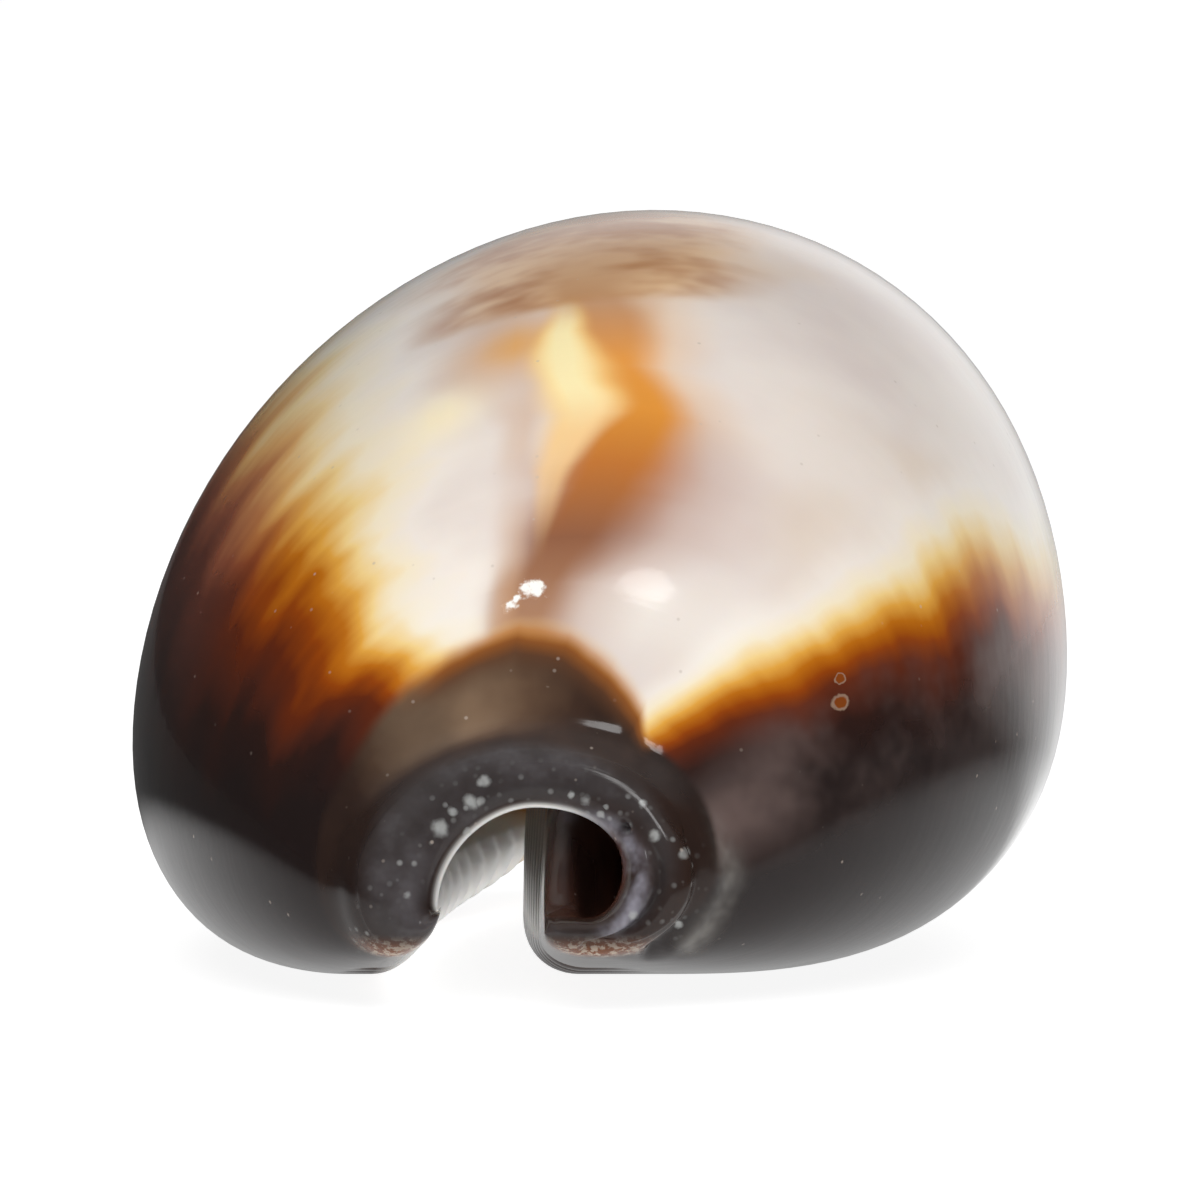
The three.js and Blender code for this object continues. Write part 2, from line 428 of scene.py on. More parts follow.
x, y, z = np.moveaxis(body, 2, 0)
facing_front = smooth_step(-y, 16.8, 17.8) * smooth_step(-normals(body)[..., 1], -0.1, 0.3)
INNERMOST_SHEEN = [(-0.9, 5.05), (0.1, 4.8), (0.75, 4.2), (0.95, 3.4), (0.8, 2.7), (0.35, 2.2)]
INNER_FOLD = [(0.75, 4.85), (1.35, 4.1), (1.5, 3.3), (1.15, 2.55), (0.5, 1.95), (-0.3, 1.65)]
OUTER_FOLD = [(0.7, 6.4), (1.65, 5.3), (2.45, 4.3), (2.65, 3.2), (2.2, 2.2), (1.4, 1.5)]
HEALED = [(1.3, 6.3), (2.6, 5.4), (3.2, 4.35), (3.35, 3.3), (2.9, 2.3), (2.3, 1.5)]
DOME_EDGE = [(-0.2, 9.0), (0.65, 8.2), (1.05, 7.2), (1.3, 6.2)]

near, gone = distance_to_line(INNER_FOLD)
inner_groove = bell(near, 0.17) * smooth_step(gone, 0, 0.35) * facing_front
near, gone = distance_to_line(OUTER_FOLD)
outer_groove = bell(near, 0.2) * smooth_step(gone, 0.05, 0.4) * facing_front
near, gone = distance_to_line(HEALED)
healed = bell(near, 0.26) * smooth_step(gone, 0.15, 0.5) * facing_front
# The innermost line is not carved. It guides a painted sheen: a grey-violet highlight painted along the
# rim's innermost fold.
near, gone = distance_to_line(INNERMOST_SHEEN)
inner_fold_sheen = bell(near, 0.26) * facing_front
near, gone = distance_to_line(DOME_EDGE)
crease = bell(near, 0.22) * smooth_step(gone, 0.1, 0.7) * facing_front
INNER_DEPTH, OUTER_DEPTH, HEALED_DEPTH, CREASE_DEPTH = 0.26, 0.3, 0.08, 0.05
folds = INNER_DEPTH * inner_groove + OUTER_DEPTH * outer_groove
carve(folds + HEALED_DEPTH * healed + CREASE_DEPTH * crease)
print(f"the deepest fold is cut {OUTER_DEPTH * outer_groove.max():.2f} mm deep")

# %% A hole and a belt of bubbles
x, y, z = np.moveaxis(body, 2, 0)
BELT = [
    (-6.0, 1.9), (-5.4, 3.2), (-4.4, 4.7), (-3.3, 5.5), (-1.6, 5.75), (0, 5.4), (1.1, 4.9), (1.9, 4.1),
    (2.1, 3.2), (1.7, 2.3), (0.9, 1.6),
]
belt_at, gone = distance_to_line(BELT)
belt = bell(belt_at, 0.42) * facing_front
hole = bell(np.hypot(x - 0.6, z - 4.75), 0.17) * facing_front
carve(0.25 * hole)
print(f"the belt of bubbles is {belt_at[belt > 0.5].max() * 2:.1f} mm wide")

# %% A scar and two chips on the back
def dent(at, radius):
    """1 at a place on the shell, given in millimetres, fading to 0 round it."""
    return bell(np.linalg.norm(body - np.array(at), axis=2), radius) * on_outside


scar = np.maximum(dent((-1.75, -16.9, 10.75), 0.36), dent((-2.45, -17.0, 10.27), 0.22))
rough = np.random.default_rng(7).normal(0, 1, scar.shape)
chips = np.maximum(dent((6.14, -16.2, 7.8), 0.2), dent((6.15, -16.1, 8.3), 0.11))
carve(scar * (0.05 + 0.04 * rough) + 0.12 * chips)
put(body)
print(f"the scar touches {int((scar > 0.3).sum())} corners and the chips {int((chips > 0.3).sum())}")

# %% [markdown]
# ## Guides for the glaze
#
# The colours of a cowrie follow its growth, so they are laid out on the flat sheet. A guide
# is a number kept at every corner of the mesh. One says how far a corner lies inside the
# pale back, counted from the edge of the dark sides. Others say where the canals' dark
# glaze begins and where the mantle's edges met along the back. Rows are counted from the
# front end, 0 to 300, and places round the skin from the left lip, 0 to 158, with 78 at the
# top of the back. The material turns the guides into colours, and breaks up their edges
# with noise.

# %% Where each colour lies on the sheet
def along_rows(*stops):
    """A value for every row, from (row, value) pairs."""
    rows, values = zip(*stops)
    return np.interp(row_of, rows, values)


def over_places(*stops):
    """A value for every place round the outside skin, from (place, value) pairs."""
    places, values = zip(*stops)
    return np.interp(from_left_lip, places, values)


left_edge = along_rows(
    (0, 74), (30, 72), (46, 68.5), (52, 66.5), (60, 64.8), (80, 63.9), (100, 63), (150, 63),
    (200, 62.5), (235, 66), (262, 73), (300, 78),
)
right_edge = along_rows(
    (0, 86), (30, 87), (38, 89), (46, 92), (52, 94), (60, 95.5), (80, 97.6), (100, 98.2),
    (120, 101), (150, 103), (200, 102), (235, 97), (262, 86), (300, 80),
)
into_back_left = from_left_lip - left_edge
into_back_right = (right_edge - from_left_lip) * 1.75
into_back = np.minimum(into_back_left, into_back_right)

front_edge = over_places(
    (0, 34), (50, 39), (60, 41), (66, 43.5), (75, 46), (79, 44.6), (83, 41.5), (87, 37.5),
    (89, 33), (95, 30), (158, 28),
)
back_edge = over_places((0, 262), (60, 258), (78, 252), (96, 258), (158, 262))
into_canal = np.maximum(front_edge - row_of, row_of - back_edge)

mantle_line = along_rows(
    (40, 76), (52, 76), (60, 78.5), (66, 80), (80, 80.3), (90, 78), (100, 77.8), (112, 76.5),
    (130, 77.5), (180, 77), (260, 78),
)
mantle_width = along_rows(
    (40, 2.5), (52, 3), (60, 3.8), (70, 3.9), (80, 2.7), (90, 1.9), (100, 1.8), (112, 2),
    (125, 3.4), (160, 3.6), (260, 2),
)
from_mantle_line = (from_left_lip - mantle_line) / mantle_width
second_line = along_rows((55, 73.5), (80, 73.5), (100, 72), (150, 71.6), (260, 74))
second_width = along_rows((60, 0.9), (80, 0.9), (95, 2.0), (108, 1.8), (130, 1.3), (260, 1.2))
from_second_line = (from_left_lip - second_line) / second_width
core_line = along_rows((56, 75.5), (70, 75.6), (80, 76.6), (90, 76), (100, 75.3), (112, 75))
core_width = along_rows((58, 0.5), (68, 1.0), (76, 1.6), (82, 2.2), (90, 2.0), (100, 1.1), (110, 0.7))
from_core = (from_left_lip - core_line) / core_width

patch_rows = smooth_step(row_of, 102, 114) * smooth_step(row_of, 165, 140)
smoke_places = smooth_step(from_left_lip, 55, 66) * smooth_step(from_left_lip, 84, 70)
beyond_rims = smooth_step(row_of, 18, 27) * smooth_step(row_of, ROWS - 18, ROWS - 27)
past_the_lips = smooth_step(np.minimum(3 * from_left_lip, from_right_lip), 3, 10)
GUIDES = {
    "into_back": into_back,
    "sway": np.where(into_back_left < into_back_right, along_rows((70, 1), (95, 0.6)), 0.6),
    "into_canal": into_canal,
    "from_mantle_line": from_mantle_line,
    "from_second_line": from_second_line,
    "from_core": from_core,
    "inside": np.where(on_outside, 0, past_the_lips * beyond_rims),
    "left_wall": np.where(on_outside, 0, smooth_step(from_left_lip, 100, 84) * beyond_rims),
    "gaps": gaps,
    "belt": belt,
    "hole": hole,
    "inner_fold_sheen": inner_fold_sheen,
    "patch": bell(from_left_lip - 75.8, 6.4) * patch_rows,
    "amber_spot": bell(row_of - 99, 6.5) * bell(from_left_lip - 73.3, 2.1),
    "bright": bell(row_of - 50, 7) * on_outside,
    "cream": bell(row_of - 88, 6) * bell(from_left_lip - 69.5, 2),
    "healed": healed,
    "scar": scar,
    "right_side": smooth_step(from_left_lip, 94, 102) * smooth_step(from_left_lip, 112, 102),
    "smoke": smoke_places * smooth_step(row_of, 24, 34),
    "left_lip_edge": smooth_step(from_left_lip, 13, 5) * beyond_rims,
}
for name, values in GUIDES.items():
    kept = shell.data.attributes.new(name, "FLOAT", "POINT")
    kept.data.foreach_set("value", values.astype(np.float32).ravel())
print(f"{len(GUIDES)} guides: {', '.join(GUIDES)}")

# %% [markdown]
# ## Closing the sheet
#
# The sheet's two long edges now lie on each other at the left lip, and the two skins meet
# at both rims. Merging by distance sews them together, which makes one closed body with a
# real wall. The distance can be tiny, because the edges match exactly, and then it doesn't
# pinch the thin places. The faces are turned outwards and shaded smooth.

# %% Sew the seams
TOUCHING = 1e-7

bpy.ops.object.mode_set(mode="EDIT")
bpy.ops.mesh.select_all(action="SELECT")
bpy.ops.mesh.remove_doubles(threshold=TOUCHING)
bpy.ops.mesh.normals_make_consistent(inside=False)
bpy.ops.mesh.select_all(action="DESELECT")
bpy.ops.mesh.select_non_manifold(use_verts=False)
bpy.ops.object.mode_set(mode="OBJECT")
open_corners = sum(v.select for v in shell.data.vertices)
shell.data.shade_smooth()
print(f"{len(shell.data.vertices)} corners and {len(shell.data.polygons)} faces")
print(f"{open_corners} corners lie on an open edge")

# %% [markdown]
# ## The enamel
#
# A cowrie's colour lies under a clear, glossy layer. The pale back is nearly white and a
# little lilac. Towards the sides the glaze gets thicker and browner, so its edge runs
# through cream, amber, rust and dark red to blackish brown, as strong tea does at the rim
# of a cup. A colour ramp on the guide called into_back makes those colours, and noise
# drawn out along the growth lines frays them into fine streaks.

# %% Small helpers for wiring a material
enamel = bpy.data.materials.new("enamel")
enamel.use_nodes = True
tree = enamel.node_tree
tree.nodes.clear()


def node(kind, inputs=(), **settings):
    """Adds a node. inputs pairs a socket's name or number with a value or another socket."""
    made = tree.nodes.new(kind)
    for name, value in settings.items():
        setattr(made, name, value)
    for socket, value in dict(inputs).items():
        if isinstance(value, bpy.types.NodeSocket):
            tree.links.new(value, made.inputs[socket])
        else:
            made.inputs[socket].default_value = value
    return made


def math_(operation, a, b=0.0, c=0.0):
    return node("ShaderNodeMath", {0: a, 1: b, 2: c}, operation=operation).outputs[0]


def fade(value, start, end):
    """0 at start and 1 at end, smoothly."""
    inputs = {"Value": value, "From Min": start, "From Max": end}
    return node("ShaderNodeMapRange", inputs, interpolation_type="SMOOTHSTEP").outputs["Result"]


def colour(r, g, b):
    """A colour given as it looks on a screen, 0 to 255."""
    channels = [c / 255 for c in (r, g, b)]
    return [c / 12.92 if c <= 0.04045 else ((c + 0.055) / 1.055) ** 2.4 for c in channels] + [1]


def blend(amount, below, above):
    """The colour below where amount is 0, and the one above where it is 1."""
    return node("ShaderNodeMix", {0: amount, 6: below, 7: above}, data_type="RGBA").outputs[2]


def ramp(value, low_end, high_end, stops):
    """Colours along a value that runs from low_end to high_end."""
    inputs = {"Value": value, "From Min": low_end, "From Max": high_end}
    scaled = node("ShaderNodeMapRange", inputs)
    made = node("ShaderNodeValToRGB", {"Fac": scaled.outputs["Result"]})
    elements = made.color_ramp.elements
    elements[0].color, elements[1].color = stops[0][1], stops[-1][1]
    for at, shade in stops[1:-1]:
        elements.new((at - low_end) / (high_end - low_end)).color = shade
    return made.outputs["Color"]


def guide(name):
    return node("ShaderNodeAttribute", attribute_name=name).outputs["Fac"]


def noise(scale, detail=3.0, rough=0.5, place=None):
    inputs = {"Vector": place or in_metres, "Scale": scale, "Detail": detail, "Roughness": rough}
    return node("ShaderNodeTexNoise", inputs).outputs["Fac"]


coordinates = node("ShaderNodeTexCoord")
in_metres = coordinates.outputs["Object"]
on_sheet = coordinates.outputs["UV"]


def drawn_out(across, lengthways):
    """Places on the flat sheet, stretched so that noise becomes streaks."""
    inputs = {"Vector": on_sheet, "Scale": (across, lengthways, 1)}
    return node("ShaderNodeMapping", inputs).outputs["Vector"]


print("the enamel's tools are ready")

# %% The pale back and the dark sides
fingers = noise(1.0, 2, 0.45, drawn_out(26, 30))
streaks = noise(1.0, 3, 0.5, drawn_out(40, 120))
clouds = noise(310, 3, 0.5)
wander = math_("MULTIPLY_ADD", fingers, 9.0, -4.5)
wander = math_("ADD", wander, math_("MULTIPLY_ADD", streaks, 1.0, -0.5))
wander = math_("ADD", wander, math_("MULTIPLY_ADD", clouds, 5.0, -2.5))
depth_in_back = math_("MULTIPLY_ADD", wander, guide("sway"), guide("into_back"))
glaze = ramp(depth_in_back, -16, 12, [
    (-16, colour(34, 26, 25)), (-12, colour(46, 28, 24)), (-9.5, colour(74, 36, 25)),
    (-7, colour(96, 40, 18)), (-5, colour(142, 64, 12)), (-3, colour(184, 106, 20)),
    (-1.2, colour(222, 162, 66)), (0.6, colour(240, 208, 140)), (2.6, colour(243, 229, 200)),
    (5, colour(238, 228, 218)), (8, colour(231, 220, 211)), (12, colour(228, 217, 208)),
])
along_shell = node("ShaderNodeSeparateXYZ", {"Vector": on_sheet}).outputs["Y"]
duller = node("ShaderNodeHueSaturation", {"Color": glaze, "Saturation": 0.85})
glaze = blend(fade(along_shell, 0.27, 0.36), glaze, duller.outputs["Color"])
grey_side = math_("MULTIPLY", guide("right_side"), fade(noise(190, 4, 0.6), 0.3, 0.68))
glaze = blend(math_("MULTIPLY", grey_side, fade(depth_in_back, -4, -9)), glaze, colour(100, 84, 80))
print("the glaze runs from blackish brown to nearly white in 12 steps")

# %% [markdown]
# ## Bands, the mantle line and washes of brown
#
# The two flaps of the mantle met along the back. Where they met, the enamel is thin, and
# warm brown shows on both sides of a bright yellow core. Soft tan bands cross the back as
# well, where the animal paused in its growth.

# %% Bands and washes on the pale back
BANDS = [(0.56, 0.05, 0.24), (0.71, 0.045, 0.3)]
band_noise = noise(1.0, 2, 0.5, drawn_out(18, 60))
shaken = math_("ADD", along_shell, math_("MULTIPLY_ADD", noise(90, 2, 0.5), 0.05, -0.025))
on_back = fade(depth_in_back, 1, 6)
pale_back = glaze
for middle, reach, strength in BANDS:
    away = math_("ABSOLUTE", math_("SUBTRACT", shaken, middle))
    amount = math_("MULTIPLY", fade(away, reach, 0.0), fade(band_noise, 0.34, 0.62))
    amount = math_("MULTIPLY", amount, on_back)
    pale_back = blend(math_("MULTIPLY", amount, strength), pale_back, colour(150, 126, 112))
lilac = math_("MULTIPLY", fade(noise(130, 3, 0.55), 0.4, 0.68), fade(depth_in_back, 4, 9))
pale_back = blend(math_("MULTIPLY", lilac, 0.4), pale_back, colour(202, 184, 182))
tan = math_("MULTIPLY", fade(noise(170, 2, 0.5), 0.52, 0.72), fade(depth_in_back, 4, 9))
pale_back = blend(math_("MULTIPLY", tan, 0.35), pale_back, colour(214, 190, 164))
patch = math_("ADD", guide("patch"), math_("MULTIPLY_ADD", noise(150, 3, 0.55), 0.9, -0.45))
patch = math_("MULTIPLY", fade(patch, 0.2, 0.7), fade(guide("patch"), 0.02, 0.2))
pale_back = blend(math_("MULTIPLY", patch, 0.75), pale_back, colour(220, 180, 136))
blotches = math_("MULTIPLY", patch, fade(noise(1.0, 3, 0.55, drawn_out(44, 18)), 0.42, 0.6))
pale_back = blend(math_("MULTIPLY", blotches, 0.85), pale_back, colour(152, 92, 56))
white = math_("MULTIPLY", guide("bright"), fade(depth_in_back, 1.5, 4))
pale_back = blend(math_("MULTIPLY", white, 0.42), pale_back, colour(248, 243, 234))
pale_back = blend(math_("MULTIPLY", guide("cream"), 0.8), pale_back, colour(254, 238, 196))
print(f"{len(BANDS)} bands cross the back")

# %% The mantle line
STRENGTHS = [
    (0.14, 0.8), (0.2, 0.95), (0.25, 1.0), (0.31, 0.95), (0.36, 0.7), (0.42, 0.35), (0.5, 0.25),
    (0.8, 0.22),
]
sideways = math_("MULTIPLY_ADD", noise(230, 2, 0.5), 1.6, -0.8)
off_line = math_("ADD", guide("from_mantle_line"), sideways)
off_second = math_("ABSOLUTE", math_("ADD", guide("from_second_line"), sideways))
off_core = math_("ABSOLUTE", math_("ADD", guide("from_core"), sideways))
strong_in_front = node("ShaderNodeFloatCurve", {"Value": along_shell})
curve = strong_in_front.mapping.curves[0]
for point, (at, value) in zip(curve.points, [(0, 0.5), (1, 0.1)]):
    point.location = (at, value)
for at, value in STRENGTHS:
    curve.points.new(at, value)
strong_in_front.mapping.update()
strength = strong_in_front.outputs["Value"]
line_colour = ramp(along_shell, 0.14, 0.5, [
    (0.14, colour(178, 130, 92)), (0.195, colour(136, 80, 44)), (0.235, colour(188, 110, 32)),
    (0.27, colour(220, 142, 40)), (0.305, colour(226, 146, 42)), (0.335, colour(204, 136, 70)),
    (0.37, colour(172, 118, 74)), (0.5, colour(166, 122, 88)),
])
halo = math_("MULTIPLY", math_("MULTIPLY", fade(off_line, -2.0, -0.6), fade(off_line, 2.9, 0.4)), strength)
halo_colour = blend(fade(along_shell, 0.235, 0.3), colour(176, 134, 114), colour(236, 190, 136))
pale_back = blend(math_("MULTIPLY", halo, 0.7), pale_back, halo_colour)
inner = math_("MULTIPLY", math_("MULTIPLY", fade(off_line, -1.7, -0.6), fade(off_line, 1.5, 0.1)), strength)
pale_back = blend(inner, pale_back, line_colour)
broken = fade(noise(180, 2, 0.5), 0.2, 0.55)
second = math_("MULTIPLY", fade(off_second, 1.8, 0.2), strength)
second = math_("MULTIPLY", second, math_("MULTIPLY", broken, 0.55))
pale_back = blend(second, pale_back, colour(204, 160, 122))
pale_back = blend(math_("MULTIPLY", guide("amber_spot"), 0.85), pale_back, colour(228, 166, 82))
core = math_("MULTIPLY", fade(off_core, 1.35, 0.3), fade(along_shell, 0.18, 0.26))
core = math_("MULTIPLY", core, fade(along_shell, 0.37, 0.33))
core_colour = ramp(off_core, 0.2, 1.4, [
    (0.2, colour(254, 236, 180)), (0.75, colour(252, 214, 138)), (1.4, colour(236, 174, 88)),
])
core_colour = blend(fade(along_shell, 0.29, 0.25), core_colour, colour(244, 204, 144))
pale_back = blend(core, pale_back, core_colour)
print("the mantle line is brown on both sides of a yellow core")

# %% [markdown]
# ## Dark glaze on the canals, the lips and the base
#
# Round each canal the glaze is thickest: a dark, slightly smoky dome over the arch, with a
# thin rust edge. The hollow inside is painted dark brown on the columella's side, the
# shell's own brown and painted shade together. The wall opposite and the left lip's edge
# are painted nearly white, turning amber towards the back end; the white is painted light,
# for the daylight that comes in through the slit.

# %% The canals and the hollow
depth_in_canal = math_("ADD", guide("into_canal"), math_("MULTIPLY_ADD", noise(300, 3, 0.5), 3.0, -1.5))
smoke = math_("ADD", noise(240, 4, 0.6), guide("smoke"))
smoky = ramp(smoke, 0.3, 1.6, [
    (0.3, colour(36, 26, 23)), (0.7, colour(62, 44, 35)),
    (1.1, colour(92, 70, 54)), (1.6, colour(132, 108, 86)),
])
canal_edge = ramp(depth_in_canal, -2, 5, [
    (-2, colour(228, 188, 130)), (-0.6, colour(190, 128, 62)), (0.8, colour(134, 80, 38)),
    (2.4, colour(90, 58, 38)), (5, colour(66, 48, 38)),
])
canal_glaze = blend(fade(depth_in_canal, 1, 6), canal_edge, smoky)
smoky_dark = blend(0.45, smoky, colour(36, 28, 27))
canal_glaze = blend(fade(depth_in_back, -6, 0), smoky_dark, canal_glaze)
collar = ramp(noise(420, 4, 0.6), 0.3, 0.7, [
    (0.3, colour(46, 40, 39)), (0.5, colour(60, 55, 55)), (0.7, colour(84, 80, 82)),
])
canal_glaze = blend(fade(depth_in_canal, 16, 33), canal_glaze, collar)
outside_colour = blend(fade(depth_in_canal, -2.6, 0.6), pale_back, canal_glaze)
# Partly painted shade: the hollow is painted dark brown, the shell's own brown darkened for the shade
# inside it.
hollow_brown = ramp(noise(240, 3, 0.5), 0.35, 0.68, [
    (0.35, colour(40, 26, 23)), (0.5, colour(58, 36, 29)), (0.68, colour(96, 54, 38)),
])
# Painted light: the left wall inside and the left lip's edge are painted nearly white for the daylight that
# comes in through the slit, turning amber towards the back end.
slit_light_and_amber_end = blend(fade(along_shell, 0.72, 0.86), colour(255, 254, 250), colour(228, 186, 116))
hollow = blend(guide("left_wall"), hollow_brown, slit_light_and_amber_end)
painted = blend(guide("inside"), outside_colour, hollow)
painted = blend(guide("left_lip_edge"), painted, slit_light_and_amber_end)
print("the canals are dark and the hollow is brown and pale")

# %% Teeth, tips, the healed break and the scar
painted = blend(math_("MULTIPLY", guide("gaps"), 0.6), painted, colour(138, 84, 44))
place = node("ShaderNodeSeparateXYZ", {"Vector": in_metres}).outputs
front_tip = math_("MULTIPLY", fade(place["Z"], 0.0021, 0.0013), fade(place["Y"], -0.0184, -0.0192))
tip = blend(fade(noise(4600, 3, 0.65), 0.48, 0.58), colour(134, 76, 38), colour(206, 186, 166))
painted = blend(math_("MULTIPLY", front_tip, 0.85), painted, tip)
healed = math_("MULTIPLY", guide("healed"), fade(noise(560, 3, 0.6), 0.25, 0.65))
painted = blend(math_("MULTIPLY", healed, 0.55), painted, colour(150, 146, 140))
# Painted sheen: a grey-violet highlight painted along the innermost fold of the rim.
painted_fold_sheen = math_("MULTIPLY", guide("inner_fold_sheen"), fade(noise(900, 3, 0.6), 0.25, 0.7))
painted = blend(math_("MULTIPLY", painted_fold_sheen, 0.85), painted, colour(164, 162, 174))
# Painted shade: the hole is painted nearly black, for the shade inside it.
painted = blend(math_("MULTIPLY", guide("hole"), 0.9), painted, colour(22, 16, 14))
scar_grain = math_("MULTIPLY_ADD", noise(2600, 3, 0.65), 1.6, -0.8)
scar_white = fade(math_("ADD", guide("scar"), scar_grain), 0.4, 0.75)
scar_white = math_("MULTIPLY", scar_white, fade(guide("scar"), 0.1, 0.35))
painted = blend(scar_white, painted, colour(251, 247, 240))
print("the small marks are painted")

# %% Bubbles caught in the rim
BUBBLES = [
    (-2.95, 5.93, 0.19), (-3.3, 5.4, 0.22), (-3.05, 5.42, 0.15), (-3.75, 5.17, 0.13), (-4.07, 4.73, 0.25),
    (-3.38, 4.64, 0.12), (-0.73, 5.57, 0.11), (-0.37, 5.42, 0.15), (0.03, 5.06, 0.1), (1.09, 5.35, 0.12),
    (1.38, 4.55, 0.18), (2.14, 4.11, 0.16), (0.83, 2.55, 0.14), (2.0, 2.26, 0.13), (-4.9, 3.1, 0.12),
]
seen_flat = node("ShaderNodeVectorMath", {0: in_metres, 1: (1, 0, 1)}, operation="MULTIPLY").outputs[0]
uneven = math_("MULTIPLY_ADD", noise(4200, 2, 0.5), 0.0002, -0.0001)
caught = 0.0
for bubble_x, bubble_z, radius in BUBBLES:
    centre = (bubble_x * MM, 0, bubble_z * MM)
    away = node("ShaderNodeVectorMath", {0: seen_flat, 1: centre}, operation="DISTANCE").outputs["Value"]
    edge = radius * MM
    caught = math_("MAXIMUM", caught, fade(math_("ADD", away, uneven), 1.15 * edge, 0.3 * edge))
froth = node("ShaderNodeTexVoronoi", {"Vector": in_metres, "Scale": 3600.0})
froth_pick = node("ShaderNodeSeparateColor", {"Color": froth.outputs["Color"]}).outputs
some = math_("GREATER_THAN", froth_pick["Red"], 0.4)
small = math_("MULTIPLY", fade(froth.outputs["Distance"], 0.38, 0.1), some)
small = math_("MULTIPLY", math_("MULTIPLY", small, froth_pick["Green"]), guide("belt"))
at_front = fade(place["Y"], -0.0168, -0.0178)
caught = math_("MULTIPLY", math_("MAXIMUM", caught, small), at_front)
caught = math_("MULTIPLY", caught, fade(noise(1300, 3, 0.6), 0.2, 0.6))
painted = blend(math_("MULTIPLY", caught, 0.66), painted, colour(180, 182, 180))
print(f"{len(BUBBLES)} large bubbles and a froth of small ones")

# %% Two chips in the right side
CHIPS = [(6.18, 7.75, 0.26), (6.18, 8.35, 0.16)]
for chip_x, chip_z, radius in CHIPS:
    centre = (chip_x * MM, 0, chip_z * MM)
    away = node("ShaderNodeVectorMath", {0: seen_flat, 1: centre}, operation="DISTANCE").outputs["Value"]
    away = math_("ADD", away, uneven)
    edge = radius * MM
    chip = math_("MULTIPLY", fade(away, edge, 0.8 * edge), fade(place["Y"], -0.012, -0.014))
    chip_colour = blend(fade(away, 0.75 * edge, 0.55 * edge), colour(150, 124, 104), colour(132, 66, 22))
    painted = blend(math_("MULTIPLY", chip, 0.85), painted, chip_colour)
print("the chips show amber with a pale edge")

# %% Dust and fine scratches
flecks = node("ShaderNodeTexVoronoi", {"Vector": in_metres, "Scale": 1900.0})
near_speck = fade(flecks.outputs["Distance"], 0.13, 0.04)
chosen = node("ShaderNodeSeparateColor", {"Color": flecks.outputs["Color"]})
more_in_front = math_("MULTIPLY_ADD", fade(depth_in_canal, 0, 8), -0.35, 0.74)
some = math_("GREATER_THAN", chosen.outputs["Red"], more_in_front)
specks = math_("MULTIPLY", math_("MULTIPLY", near_speck, some), chosen.outputs["Green"])
painted = blend(math_("MULTIPLY", specks, 0.6), painted, colour(190, 176, 164))
print("fine specks are scattered over the enamel")

# %% [markdown]
# ## Gloss
#
# The enamel is as smooth as porcelain, with a clear coat over the colour, so the base
# layer is a little softer than the coat. Only the scar, the left lip's edge and the wall
# behind it are duller, because the mantle didn't polish them. Fine growth lines and tiny
# dimples bend the reflections slightly. Light also passes a short way into the enamel.

# %% The shader
growth = math_("MULTIPLY", noise(1.0, 2, 0.5, drawn_out(12, 200)), 0.3)
dimples = math_("ADD", growth, noise(700, 3, 0.5))
bump = node("ShaderNodeBump", {"Strength": 0.05, "Distance": 0.0002, "Height": dimples})
worn = math_("MAXIMUM", guide("scar"), math_("MAXIMUM", guide("left_lip_edge"), guide("left_wall")))
softness = math_("ADD", math_("MULTIPLY_ADD", noise(600, 4, 0.6), 0.12, 0.04), math_("MULTIPLY", worn, 0.4))
surface = node("ShaderNodeBsdfPrincipled", {
    "Base Color": painted, "Roughness": softness, "Normal": bump.outputs["Normal"],
    "IOR": 1.5, "Coat Weight": 0.15, "Coat Roughness": 0.03, "Coat IOR": 1.4,
    "Subsurface Weight": 0.12, "Subsurface Radius": (0.0012, 0.0008, 0.0005), "Subsurface Scale": 1.0,
})
node("ShaderNodeOutputMaterial", {"Surface": surface.outputs["BSDF"]})
shell.data.materials.clear()
shell.data.materials.append(enamel)
print(f"the enamel has {len(tree.nodes)} nodes")

# %% [markdown]
# ## Handing the shell to the frame
#
# The new shell stands in for the plain solid of the frame and moves with its only body.

# %% The shell takes its place
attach(shell, "root")
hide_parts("shell")
print(f"{shell.name} stands for the frame's shell")

# %% [markdown]
# ## Table, light and camera
#
# Glossy things are lit by what they reflect. The shell stands on a bright white table. One
# large soft lamp above the camera lights it. It is kept out of the reflections, so the dark
# sides stay deep. What the gloss does mirror is one small lamp high up, which draws the
# thin highlights on the rim, a pale ceiling, a pale wall behind on the right, a dark room
# everywhere else and the table close by, which fades into the dark.

# %% The table
bpy.ops.object.select_all(action="DESELECT")
bpy.ops.mesh.primitive_circle_add(vertices=96, radius=6, fill_type="NGON")
table = bpy.context.object
table.name = "table"
tabletop = bpy.data.materials.new("white_tabletop")
tabletop.use_nodes = True
tree = tabletop.node_tree
tree.nodes.clear()
on_table = node("ShaderNodeTexCoord").outputs["Object"]
from_shell = node("ShaderNodeVectorMath", {0: on_table}, operation="LENGTH")
close_by = math_("MULTIPLY", fade(from_shell.outputs["Value"], 0.055, 0.02), 0.42)
outwards = node("ShaderNodeVectorMath", {0: on_table}, operation="NORMALIZE")
heading = node("ShaderNodeSeparateXYZ", {"Vector": outwards.outputs["Vector"]}).outputs
by_the_wall = math_("MULTIPLY", fade(heading["X"], -0.15, 0.4), fade(heading["Y"], 0.5, 1.0))
mirrored = math_("ADD", math_("MULTIPLY_ADD", by_the_wall, 0.8, 0.025), close_by)
rays = node("ShaderNodeLightPath").outputs
light_there = math_("MULTIPLY_ADD", rays["Is Glossy Ray"], math_("SUBTRACT", mirrored, 1.0), 1.0)
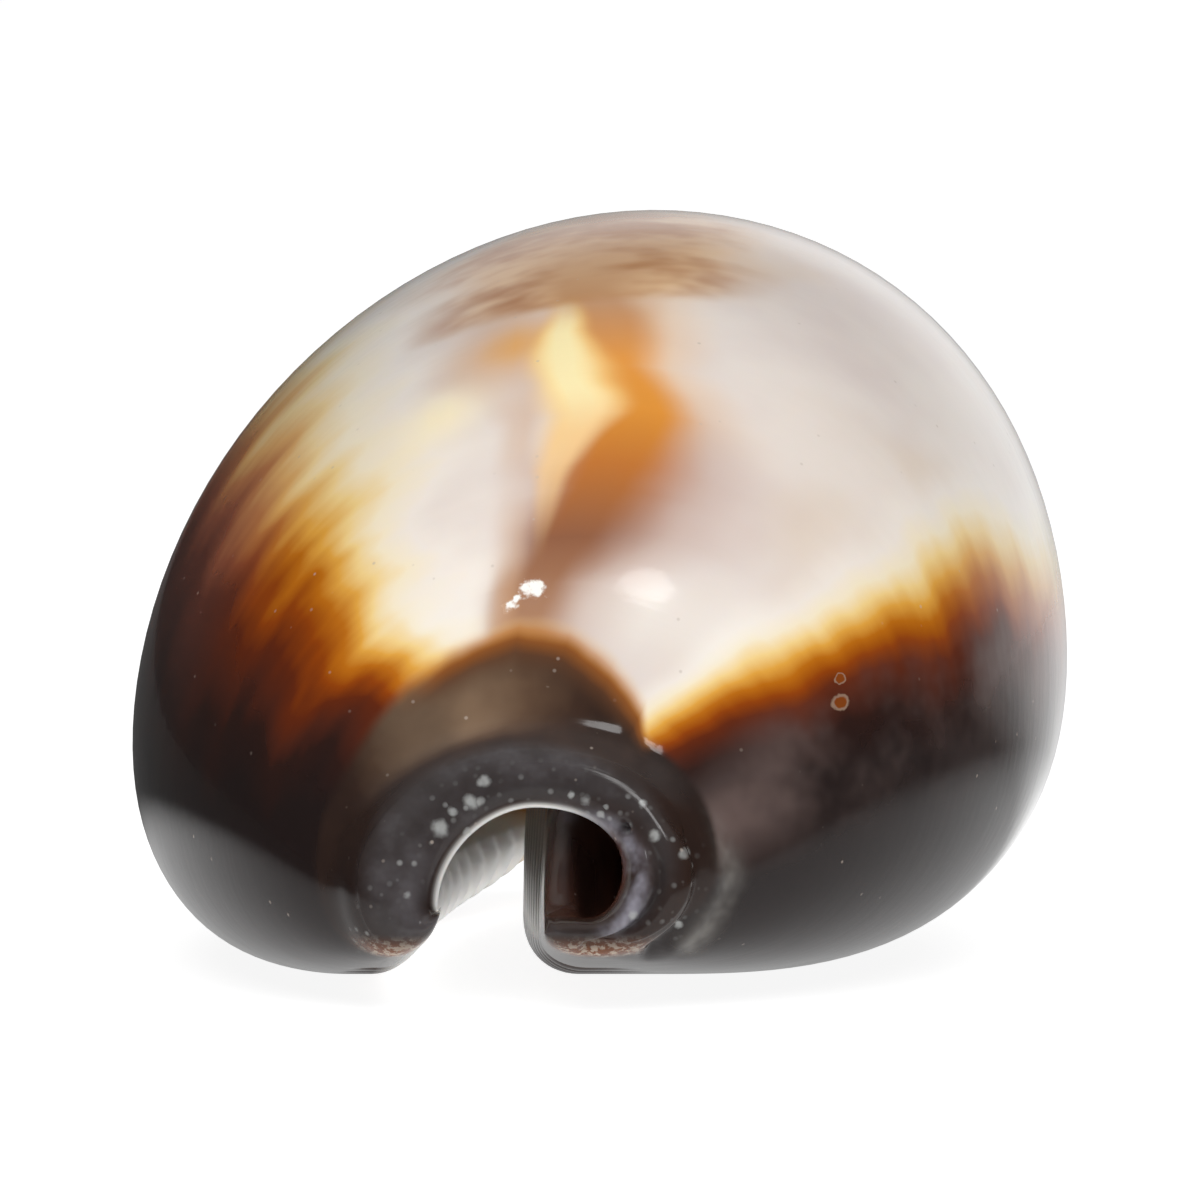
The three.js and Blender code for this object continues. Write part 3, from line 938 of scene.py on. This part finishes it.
laminate = node("ShaderNodeBsdfPrincipled", {
    "Base Color": blend(light_there, (0, 0, 0, 1), (0.35, 0.35, 0.35, 1)), "Roughness": 0.6,
    "Emission Color": (1, 1, 1, 1), "Emission Strength": math_("MULTIPLY", light_there, 0.9),
})
node("ShaderNodeOutputMaterial", {"Surface": laminate.outputs["BSDF"]})
table.data.materials.append(tabletop)
print("the table is 12 m across, so its edge never shows")

# %% The room and the lamps
room = bpy.data.worlds.new("room")
bpy.context.scene.world = room
room.use_nodes = True
tree = room.node_tree
tree.nodes.clear()
towards = node("ShaderNodeSeparateXYZ", {"Vector": node("ShaderNodeTexCoord").outputs["Generated"]}).outputs
ceiling = math_("MULTIPLY", fade(towards["Z"], 0.6, 0.97), 0.5)
to_the_right = math_("MULTIPLY_ADD", towards["Z"], 0.9, towards["X"])
wall = math_("MULTIPLY", fade(to_the_right, -0.15, 0.4), fade(towards["Y"], 0.5, 1.0))
wall = math_("MULTIPLY", wall, fade(towards["Z"], 0.65, 0.2))
lit = math_("ADD", math_("MULTIPLY_ADD", wall, 1.2, ceiling), 0.025)
rays = node("ShaderNodeLightPath").outputs
strength = math_("MULTIPLY_ADD", rays["Is Camera Ray"], math_("SUBTRACT", 1.1, lit), lit)
background = node("ShaderNodeBackground", {"Strength": strength})
node("ShaderNodeOutputWorld", {"Surface": background.outputs["Background"]})


def add_lamp(name, at, size, energy):
    """A round lamp that shines on the middle of the shell."""
    light = bpy.data.lights.new(name, "AREA")
    light.shape = "DISK"
    light.size = size
    light.energy = energy
    lamp = bpy.data.objects.new(name, light)
    bpy.context.scene.collection.objects.link(lamp)
    lamp.location = at
    lamp.rotation_mode = "QUATERNION"
    lamp.rotation_quaternion = (lamp.location - Vector((0, 0, 0.01))).to_track_quat("Z", "Y")
    return lamp


soft_lamp = add_lamp("soft_lamp", (0.02, -0.3, 0.45), 0.7, 3.1)
soft_lamp.visible_glossy = False
add_lamp("small_lamp", (0.09, -0.33, 0.34), 0.07, 0.055)
print("two lamps: a large soft one and a small bright one")

# %% [markdown]
# The camera looks the shell in the face from just above the table, with a long lens from
# about a foot away, so that the near end hardly looms. The shell fills three quarters of
# the picture's width.

# %% The camera
DISTANCE = 8 * LENGTH * MM
VIEW_WIDTH = 32.7 * MM
tilt = math.radians(3)
aim = Vector((0, 0, 0.52 * HEIGHT * MM))
back_off = Vector((0, -math.cos(tilt), math.sin(tilt)))
eye = bpy.data.cameras.new("eye")
eye.lens = eye.sensor_width * (DISTANCE + BELLY_Y * MM) / VIEW_WIDTH
eye.shift_y = -0.028
eye.clip_start = 0.01
eye.clip_end = 20
camera = bpy.data.objects.new("camera", eye)
bpy.context.scene.collection.objects.link(camera)
camera.location = aim + back_off * DISTANCE
camera.rotation_mode = "QUATERNION"
camera.rotation_quaternion = (-back_off).to_track_quat("-Z", "Y")
bpy.context.scene.camera = camera
bpy.context.scene.view_settings.view_transform = "Standard"
print(f"a {eye.lens:.0f} mm lens from {DISTANCE:.2f} m away")
